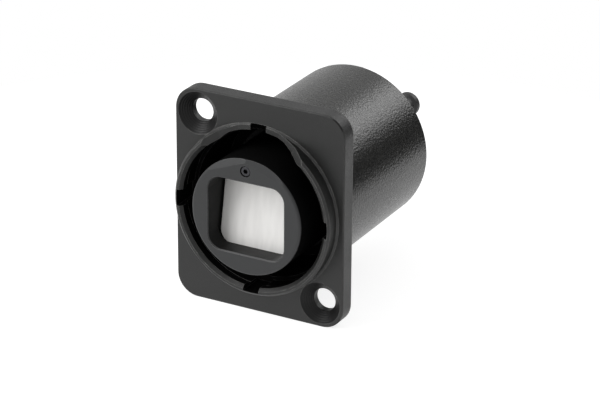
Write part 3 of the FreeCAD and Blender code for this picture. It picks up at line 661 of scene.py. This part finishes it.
def paint(node, finish):
    """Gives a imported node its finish."""
    mesh = frame["nodes"][node].data
    mesh.materials.clear()
    mesh.materials.append(finish_of(finish))
    for face in mesh.polygons:
        face.material_index = 0


def paint_part(node, finish, picked):
    """Gives one more finish to those faces of a painted node that a test picks by centre and normal."""
    mesh = frame["nodes"][node].data
    mesh.materials.append(finish_of(finish))
    for face in mesh.polygons:
        if picked(face.center, face.normal):
            face.material_index = len(mesh.materials) - 1


def dress(name, node, finish, width, body=FIXED_BODY, forward=0.0):
    """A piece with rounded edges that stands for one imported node, set forward of it where that is asked."""
    mesh = solid_copy(node)
    for vertex in mesh.vertices:
        vertex.co.y -= forward
    piece = show(name, mesh, finish)
    round_edges(piece, width)
    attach(piece, body)
    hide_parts(node)


# ---- Geometry Nodes ------------------------------------------------------------------------------
def set_inputs(modifier, values):
    """Sets a Geometry Nodes modifier's inputs through their sockets' identifiers."""
    for item in modifier.node_group.interface.items_tree:
        if item.in_out == "INPUT" and item.name in values:
            modifier[item.identifier] = values[item.name]


def grown(name, tree_name, values, finish, points=()):
    """A plain mesh grown by a Geometry Nodes tree, on points if it takes any."""
    seed = bpy.data.meshes.new(name)
    seed.from_pydata(points, [], [])
    piece = show(name, seed, finish)
    modifier = piece.modifiers.new("growth", "NODES")
    modifier.node_group = bpy.data.node_groups[tree_name]
    set_inputs(modifier, {**values, "Material": finish_of(finish)})
    settle(piece)
    return piece


def end_tree(tree, geometry, result, material):
    """Closes a tree with real instances, its material and smooth shading by angle."""
    real = add_node(tree, "GeometryNodeRealizeInstances", {0: geometry})
    angle = add_node(tree, "GeometryNodeInputMeshEdgeAngle").outputs["Unsigned Angle"]
    sharp = add_node(tree, "FunctionNodeCompare", {0: angle, 1: EDGE_ANGLE}, operation="GREATER_THAN")
    faces = add_node(tree, "GeometryNodeSetShadeSmooth", {0: real.outputs[0]}, domain="FACE")
    creased = add_node(tree, "GeometryNodeSetShadeSmooth", {
        0: faces.outputs[0], 1: sharp.outputs[0], 2: False}, domain="EDGE")
    painted = add_node(tree, "GeometryNodeSetMaterial", {0: creased.outputs[0], "Material": material})
    feed(tree, result.inputs["Geometry"], painted.outputs[0])


def build_spring_tree():
    """A torsion coil about X from its wire, radius, pitch and turns, with a straight wire at each end."""
    tree, given, result = new_group(
        "Torsion Spring", "GeometryNodeTree",
        [("Wire", "NodeSocketFloat", 0.0001), ("Coil", "NodeSocketFloat", 0.0005),
         ("Pitch", "NodeSocketFloat", 0.0003), ("Turns", "NodeSocketFloat", 5.0),
         ("Lean", "NodeSocketFloat", 0.4), ("Tail", "NodeSocketFloat", 0.001),
         ("Leg", "NodeSocketFloat", 0.001), ("Centre", "NodeSocketVector", None),
         ("Material", "NodeSocketMaterial", None)],
        [("Geometry", "NodeSocketGeometry")])
    value = given.outputs
    length = product(tree, value["Pitch"], value["Turns"])
    half, back = product(tree, length, 0.5), product(tree, length, -0.5)
    spiral = add_node(tree, "GeometryNodeCurveSpiral", {
        "Resolution": COIL_STEPS, "Rotations": value["Turns"], "Start Radius": value["Coil"],
        "End Radius": value["Coil"], "Height": length, "Reverse": False})
    lean = vector_of(tree, {2: product(tree, value["Lean"], -1.0)})
    turned = moved(tree, spiral.outputs[0], Rotation=lean)
    coil = moved(tree, turned, Translation=vector_of(tree, {2: back}))
    tail = wire_path(tree, {0: value["Coil"], 2: half}, {0: value["Coil"], 1: value["Tail"], 2: half})
    sine, cosine = calc(tree, "SINE", value["Lean"]), calc(tree, "COSINE", value["Lean"])
    foot_x = product(tree, value["Coil"], cosine)
    foot_y = product(tree, value["Coil"], sine, -1.0)
    tip_x = calc(tree, "SUBTRACT", foot_x, product(tree, value["Leg"], sine))
    tip_y = calc(tree, "SUBTRACT", foot_y, product(tree, value["Leg"], cosine))
    leg = wire_path(tree, {0: foot_x, 1: foot_y, 2: back}, {0: tip_x, 1: tip_y, 2: back})
    paths = add_node(tree, "GeometryNodeJoinGeometry")
    for path in (coil, tail, leg):
        tree.links.new(path, paths.inputs[0])
    section = add_node(tree, "GeometryNodeCurvePrimitiveCircle", {
        "Resolution": WIRE_SIDES, "Radius": value["Wire"]})
    wire = add_node(tree, "GeometryNodeCurveToMesh", {
        "Curve": paths.outputs[0], "Profile Curve": section.outputs[0], "Fill Caps": True})
    upright = moved(tree, wire.outputs[0], Rotation=(math.pi / 2, 0.0, math.pi / 2))
    end_tree(tree, moved(tree, upright, Translation=value["Centre"]), result, value["Material"])


def moved(tree, geometry, **change):
    """Geometry turned or carried."""
    return add_node(tree, "GeometryNodeTransform", {0: geometry, **change}).outputs[0]


def wire_path(tree, foot, tip):
    """A straight path between two points, each given by its parts."""
    ends = {"Start": vector_of(tree, foot), "End": vector_of(tree, tip)}
    return add_node(tree, "GeometryNodeCurvePrimitiveLine", ends).outputs[0]


def build_sleeve_tree():
    """A slotted tube along Y on each point of the given mesh."""
    tree, given, result = new_group(
        "Split Sleeves", "GeometryNodeTree",
        [("Geometry", "NodeSocketGeometry", None), ("Middle", "NodeSocketFloat", 0.0007),
         ("Wall", "NodeSocketFloat", 0.0002), ("Length", "NodeSocketFloat", 0.0067),
         ("Slot", "NodeSocketFloat", 0.0002), ("Material", "NodeSocketMaterial", None)],
        [("Geometry", "NodeSocketGeometry")])
    value = given.outputs
    gap = calc(tree, "DIVIDE", value["Slot"], value["Middle"])
    arc = add_node(tree, "GeometryNodeCurveArc", {
        "Resolution": SLEEVE_STEPS, "Radius": value["Middle"],
        "Start Angle": calc(tree, "ADD", math.pi / 2, product(tree, gap, 0.5)),
        "Sweep Angle": calc(tree, "SUBTRACT", math.tau, gap)})
    section = add_node(tree, "GeometryNodeCurvePrimitiveQuadrilateral", {
        "Width": value["Wall"], "Height": value["Length"]})
    corner = product(tree, value["Wall"], CORNER_RATIO)
    soft = add_node(tree, "GeometryNodeFilletCurve", {
        "Curve": section.outputs[0], "Count": CORNER_STEPS, "Radius": corner}, mode="POLY")
    tube = add_node(tree, "GeometryNodeCurveToMesh", {
        "Curve": arc.outputs[0], "Profile Curve": soft.outputs[0], "Fill Caps": True})
    laid = moved(tree, tube.outputs[0], Rotation=(math.pi / 2, 0.0, 0.0))
    copies = add_node(tree, "GeometryNodeInstanceOnPoints", {"Points": value["Geometry"], "Instance": laid})
    end_tree(tree, copies.outputs[0], result, value["Material"])


# ---- studio --------------------------------------------------------------------------------------
def place_camera(scene, studio):
    """A camera that looks from the front, the right and above."""
    sine, cosine = math.sin(studio.azimuth), math.cos(studio.azimuth)
    rise, level = math.sin(studio.elevation), math.cos(studio.elevation)
    ahead = Vector((-sine * level, cosine * level, -rise))
    right = ahead.cross(Vector((0, 0, 1))).normalized()
    up = right.cross(ahead)
    turn = Matrix.Rotation(-studio.roll, 3, ahead)
    right, up = turn @ right, turn @ up
    position = right * studio.aim_right + up * studio.aim_up - ahead * studio.distance
    camera = bpy.data.objects.new("studio_camera", bpy.data.cameras.new("studio_camera"))
    camera.data.lens = studio.lens
    camera.data.clip_start = studio.distance / 10
    camera.data.clip_end = 10.0
    camera.matrix_world = Matrix.Translation(position) @ Matrix((right, up, -ahead)).transposed().to_4x4()
    scene.collection.objects.link(camera)
    scene.camera = camera


def seen_plainly(tree):
    """1 where a surface is seen directly, in a gloss or through glass, 0 where it only lights others."""
    path = add_node(tree, "ShaderNodeLightPath").outputs
    seen = calc(tree, "MAXIMUM", path["Is Camera Ray"], path["Is Glossy Ray"])
    return calc(tree, "MAXIMUM", seen, path["Is Transmission Ray"])


def light_surround(scene, studio):
    """Even soft light from all round, seen as plain white, with the flag behind on the right."""
    world = bpy.data.worlds.new("studio_surround")
    world.use_nodes = True
    scene.world = world
    tree = world.node_tree
    tree.nodes.clear()
    way = add_node(tree, "ShaderNodeTexCoord").outputs["Generated"]
    likeness = vector_calc(tree, "DOT_PRODUCT", way, FLAG_WAY).outputs["Value"]
    gloss = rescale(tree, likeness, *FLAG_RANGE, studio.gloss, studio.flag)
    path = add_node(tree, "ShaderNodeLightPath").outputs
    soft = blend_values(tree, path["Is Glossy Ray"], studio.surround, gloss)
    strength = blend_values(tree, path["Is Camera Ray"], soft, 1.0)
    light = add_node(tree, "ShaderNodeBackground", {"Color": (1.0, 1.0, 1.0, 1.0), "Strength": strength})
    output = add_node(tree, "ShaderNodeOutputWorld")
    feed(tree, output.inputs["Surface"], light.outputs[0])


def place_lamps(studio):
    """A large lamp above on the left and a smaller one behind, both aimed at the part."""
    lamps = (
        ("key_lamp", KEY_PLACE, KEY_SIZE, studio.key_light),
        ("back_lamp", BACK_PLACE, BACK_SIZE, studio.back_light),
    )
    for name, position, size, power in lamps:
        lamp = bpy.data.lights.new(name, "AREA")
        lamp.shape = "SQUARE"
        lamp.size = size
        lamp.energy = power
        holder = bpy.data.objects.new(name, lamp)
        holder.rotation_mode = "QUATERNION"
        holder.rotation_quaternion = (LAMP_AIM - position).to_track_quat("-Z", "Y")
        holder.location = position
        bpy.context.scene.collection.objects.link(holder)


def lay_floor(studio):
    """A plain pale floor under the part. It shows white, and keeps the part's shadow."""
    material = bpy.data.materials.new("studio_floor")
    material.use_nodes = True
    tree = material.node_tree
    tree.nodes.clear()
    matt = add_node(tree, "ShaderNodeBsdfDiffuse", {"Color": opaque(studio.floor_colour)})
    strength = product(tree, seen_plainly(tree), studio.floor_lift)
    lift = add_node(tree, "ShaderNodeEmission", {"Strength": strength})
    both = add_node(tree, "ShaderNodeAddShader", {0: matt.outputs[0], 1: lift.outputs[0]})
    feed(tree, add_node(tree, "ShaderNodeOutputMaterial").inputs["Surface"], both.outputs[0])
    work = bmesh.new()
    bmesh.ops.create_circle(work, cap_ends=True, segments=FLOOR_SEGMENTS, radius=studio.floor_radius,
                            matrix=Matrix.Translation((0.0, 0.0, CAD_BOX[0].z)))
    mesh = bpy.data.meshes.new("studio_floor")
    work.to_mesh(mesh)
    work.free()
    mesh.materials.append(material)
    floor = bpy.data.objects.new("studio_floor", mesh)
    bpy.context.scene.collection.objects.link(floor)


# ---- face tests ----------------------------------------------------------------------------------
def reach_of(centre):
    """How far a face is from the mating axis."""
    return math.hypot(centre.x, centre.z)


def lean_of(centre, normal):
    """How far a face's normal leans away from the mating axis: 1 straight out, -1 straight in."""
    return (centre.x * normal.x + centre.z * normal.z) / reach_of(centre)


def in_coupling_gap(centre, normal):
    """Whether a face of the housing looks into the ring-shaped gap, or is a wall of a keyway."""
    if reach_of(centre) > GAP_REACH or centre.y > GAP_FLOOR:
        return False
    lean = lean_of(centre, normal)
    keyway_wall = abs(lean) < SIDEWAYS and abs(normal.y) < STEEP
    return keyway_wall or centre.y > -FLANGE_DEPTH or (lean < INWARD and centre.y > COLLAR_LIP)


def in_countersink(centre, normal):
    """Whether a face of the housing is the cone of a screw's countersink."""
    in_flange = abs(centre.x) < SINK_LIMIT[0] and abs(centre.z) < SINK_LIMIT[1]
    in_depth = -FLANGE_DEPTH < centre.y < 0.0 and reach_of(centre) > SINK_REACH
    return in_flange and in_depth and SINK_SLOPE[0] < abs(normal.y) < SINK_SLOPE[1]


def on_nose_side(centre, normal):
    """Whether a face of the nose is its outer side behind the front edge."""
    behind = NOSE_EDGE < centre.y < GAP_FLOOR
    return behind and reach_of(centre) > NOSE_REACH and lean_of(centre, normal) > OUTWARD


def in_window(centre, normal):
    """Whether a face of the nose is a wall of its window."""
    return abs(normal.y) < STEEP and reach_of(centre) < NOSE_REACH


# ---- operators -----------------------------------------------------------------------------------
class RECEPTACLE_OT_finishes(bpy.types.Operator):
    """Builds every shader group and material"""
    bl_idname = "receptacle.finishes"
    bl_label = "Finishes"

    def execute(self, context):
        build_shader_groups()
        scene = context.scene
        built = build_finishes(scene.receptacle_moulding, scene.receptacle_metal)
        for short_name, material in built.items():
            FINISH_NAMES[short_name] = material.name
        return {"FINISHED"}


class RECEPTACLE_OT_stage(bpy.types.Operator):
    """Sets the camera, the lamps, the even surround and the floor"""
    bl_idname = "receptacle.stage"
    bl_label = "Stage"

    def execute(self, context):
        studio = context.scene.receptacle_studio
        place_camera(context.scene, studio)
        light_surround(context.scene, studio)
        place_lamps(studio)
        lay_floor(studio)
        context.scene.view_settings.view_transform = "Standard"
        return {"FINISHED"}


class RECEPTACLE_OT_housing(bpy.types.Operator):
    """Dresses the flange, collar and barrel"""
    bl_idname = "receptacle.housing"
    bl_label = "Housing"

    def execute(self, context):
        paint("housing_shell", "shell")
        # Painted shade: the faces in the coupling gap and the keyway walls take the near-black gap colour.
        paint_part("housing_shell", "gap_painted_shade", in_coupling_gap)
        # Painted shade: the countersink cones take the darker countersink colour.
        paint_part("housing_shell", "countersink_painted_shade", in_countersink)
        return {"FINISHED"}


class RECEPTACLE_OT_nose(bpy.types.Operator):
    """Dresses the nose, its seal and its screw"""
    bl_idname = "receptacle.nose"
    bl_label = "Nose"

    def execute(self, context):
        small = context.scene.receptacle_moulding.small_edge_round
        paint("nose_body", "nose")
        # Painted shade: the nose's outer side inside the gap takes the near-black gap colour.
        paint_part("nose_body", "gap_painted_shade", on_nose_side)
        # Painted shade: the walls of the window take the darker window colour.
        paint_part("nose_body", "inset", in_window)
        paint("nose_seal", "seal")
        dress("nose_socket_screw", "nose_screw", "dark", small, forward=SCREW_FORWARD)
        return {"FINISHED"}


class RECEPTACLE_OT_shutter(bpy.types.Operator):
    """Dresses the flap, its bracket and its pin, and grows the torsion spring"""
    bl_idname = "receptacle.shutter"
    bl_label = "Shutter"

    def execute(self, context):
        small = context.scene.receptacle_moulding.small_edge_round
        dress("flap_sheet", "shutter_flap", "flap", small, FLAP_BODY)
        paint("hinge_bracket", "dark")
        dress("hinge_pin", "shutter_pin", "bright", small / 2)
        build_spring_tree()
        spring = context.scene.receptacle_spring
        turns = spring.turns + spring.lean / math.tau
        coil = grown("torsion_spring", "Torsion Spring", {
            "Wire": spring.wire, "Coil": spring.coil, "Pitch": spring.pitch, "Turns": turns,
            "Lean": spring.lean, "Tail": spring.tail, "Leg": spring.leg,
            "Centre": HINGE["pos_m"]}, "bright")
        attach(coil, FIXED_BODY)
        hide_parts("shutter_spring")
        return {"FINISHED"}


class RECEPTACLE_OT_sleeves(bpy.types.Operator):
    """Dresses the sleeve block and its dowels, and grows the four split sleeves"""
    bl_idname = "receptacle.sleeves"
    bl_label = "Sleeves"

    def execute(self, context):
        small = context.scene.receptacle_moulding.small_edge_round
        for half in ("front", "rear"):
            dress("block_plate_" + half, "sleeve_block_" + half, "block", small)
        dress("block_dowel_pins", "block_dowels", "bright", small)
        build_sleeve_tree()
        sleeve = context.scene.receptacle_sleeve
        low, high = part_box("split_sleeve_1")
        middle = (low.y + high.y) / 2
        piece = grown("split_sleeves", "Split Sleeves", {
            "Middle": sleeve.middle, "Wall": sleeve.wall, "Length": high.y - low.y, "Slot": sleeve.slot},
            "ceramic", [(centre.x, middle, centre.z) for centre in PORT_CENTRES])
        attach(piece, FIXED_BODY)
        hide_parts(*["split_sleeve_%d" % number for number in range(1, 5)])
        return {"FINISHED"}


class RECEPTACLE_OT_ports(bpy.types.Operator):
    """Dresses the LC ports, the carrier with its screws, and the retaining ring"""
    bl_idname = "receptacle.ports"
    bl_label = "Ports"

    def execute(self, context):
        moulding = context.scene.receptacle_moulding
        small = moulding.small_edge_round
        for side in ("upper", "lower"):
            paint("lc_port_" + side, "port")
        dress("carrier_plate", "rear_carrier", "nose", moulding.edge_round)
        dress("clamp_screws", "carrier_screws", "bright", small)
        dress("spring_ring", "retaining_ring", "bright", small)
        return {"FINISHED"}


class RECEPTACLE_OT_dust_plugs(bpy.types.Operator):
    """Dresses the four dust plugs"""
    bl_idname = "receptacle.dust_plugs"
    bl_label = "Dust plugs"

    def execute(self, context):
        edge = context.scene.receptacle_moulding.edge_round
        for number in range(1, 5):
            dress("port_plug_%d" % number, "dust_plug_%d" % number, "plug", edge)
        return {"FINISHED"}


class RECEPTACLE_PT_panel(bpy.types.Panel):
    """Lists the settings and the steps"""
    bl_idname = "RECEPTACLE_PT_panel"
    bl_label = "Fibre Panel Receptacle"
    bl_space_type = "VIEW_3D"
    bl_region_type = "UI"
    bl_category = "Receptacle"

    def draw(self, context):
        for attribute, group in SETTING_GROUPS.items():
            box = self.layout.box()
            settings = getattr(context.scene, attribute)
            for key in group.__annotations__:
                box.prop(settings, key)
        for step in STEPS:
            self.layout.operator(step.bl_idname)


SETTING_GROUPS = {
    "receptacle_moulding": MouldingSettings,
    "receptacle_metal": MetalSettings,
    "receptacle_spring": SpringSettings,
    "receptacle_sleeve": SleeveSettings,
    "receptacle_studio": StudioSettings,
}
STEPS = (
    RECEPTACLE_OT_finishes,
    RECEPTACLE_OT_stage,
    RECEPTACLE_OT_housing,
    RECEPTACLE_OT_nose,
    RECEPTACLE_OT_shutter,
    RECEPTACLE_OT_sleeves,
    RECEPTACLE_OT_ports,
    RECEPTACLE_OT_dust_plugs,
)


def register():
    """Adds the settings, the steps and the panel to Blender."""
    for group in SETTING_GROUPS.values():
        bpy.utils.register_class(group)
    for attribute, group in SETTING_GROUPS.items():
        setattr(bpy.types.Scene, attribute, PointerProperty(type=group))
    for step in STEPS:
        bpy.utils.register_class(step)
    bpy.utils.register_class(RECEPTACLE_PT_panel)


def unregister():
    """Takes them away again."""
    bpy.utils.unregister_class(RECEPTACLE_PT_panel)
    for step in reversed(STEPS):
        bpy.utils.unregister_class(step)
    for attribute, group in SETTING_GROUPS.items():
        delattr(bpy.types.Scene, attribute)
        bpy.utils.unregister_class(group)


def main():
    """Builds everything in order."""
    register()
    for step in STEPS:
        area, name = step.bl_idname.split(".")
        getattr(getattr(bpy.ops, area), name)()


if __name__ == "__main__":
    main()
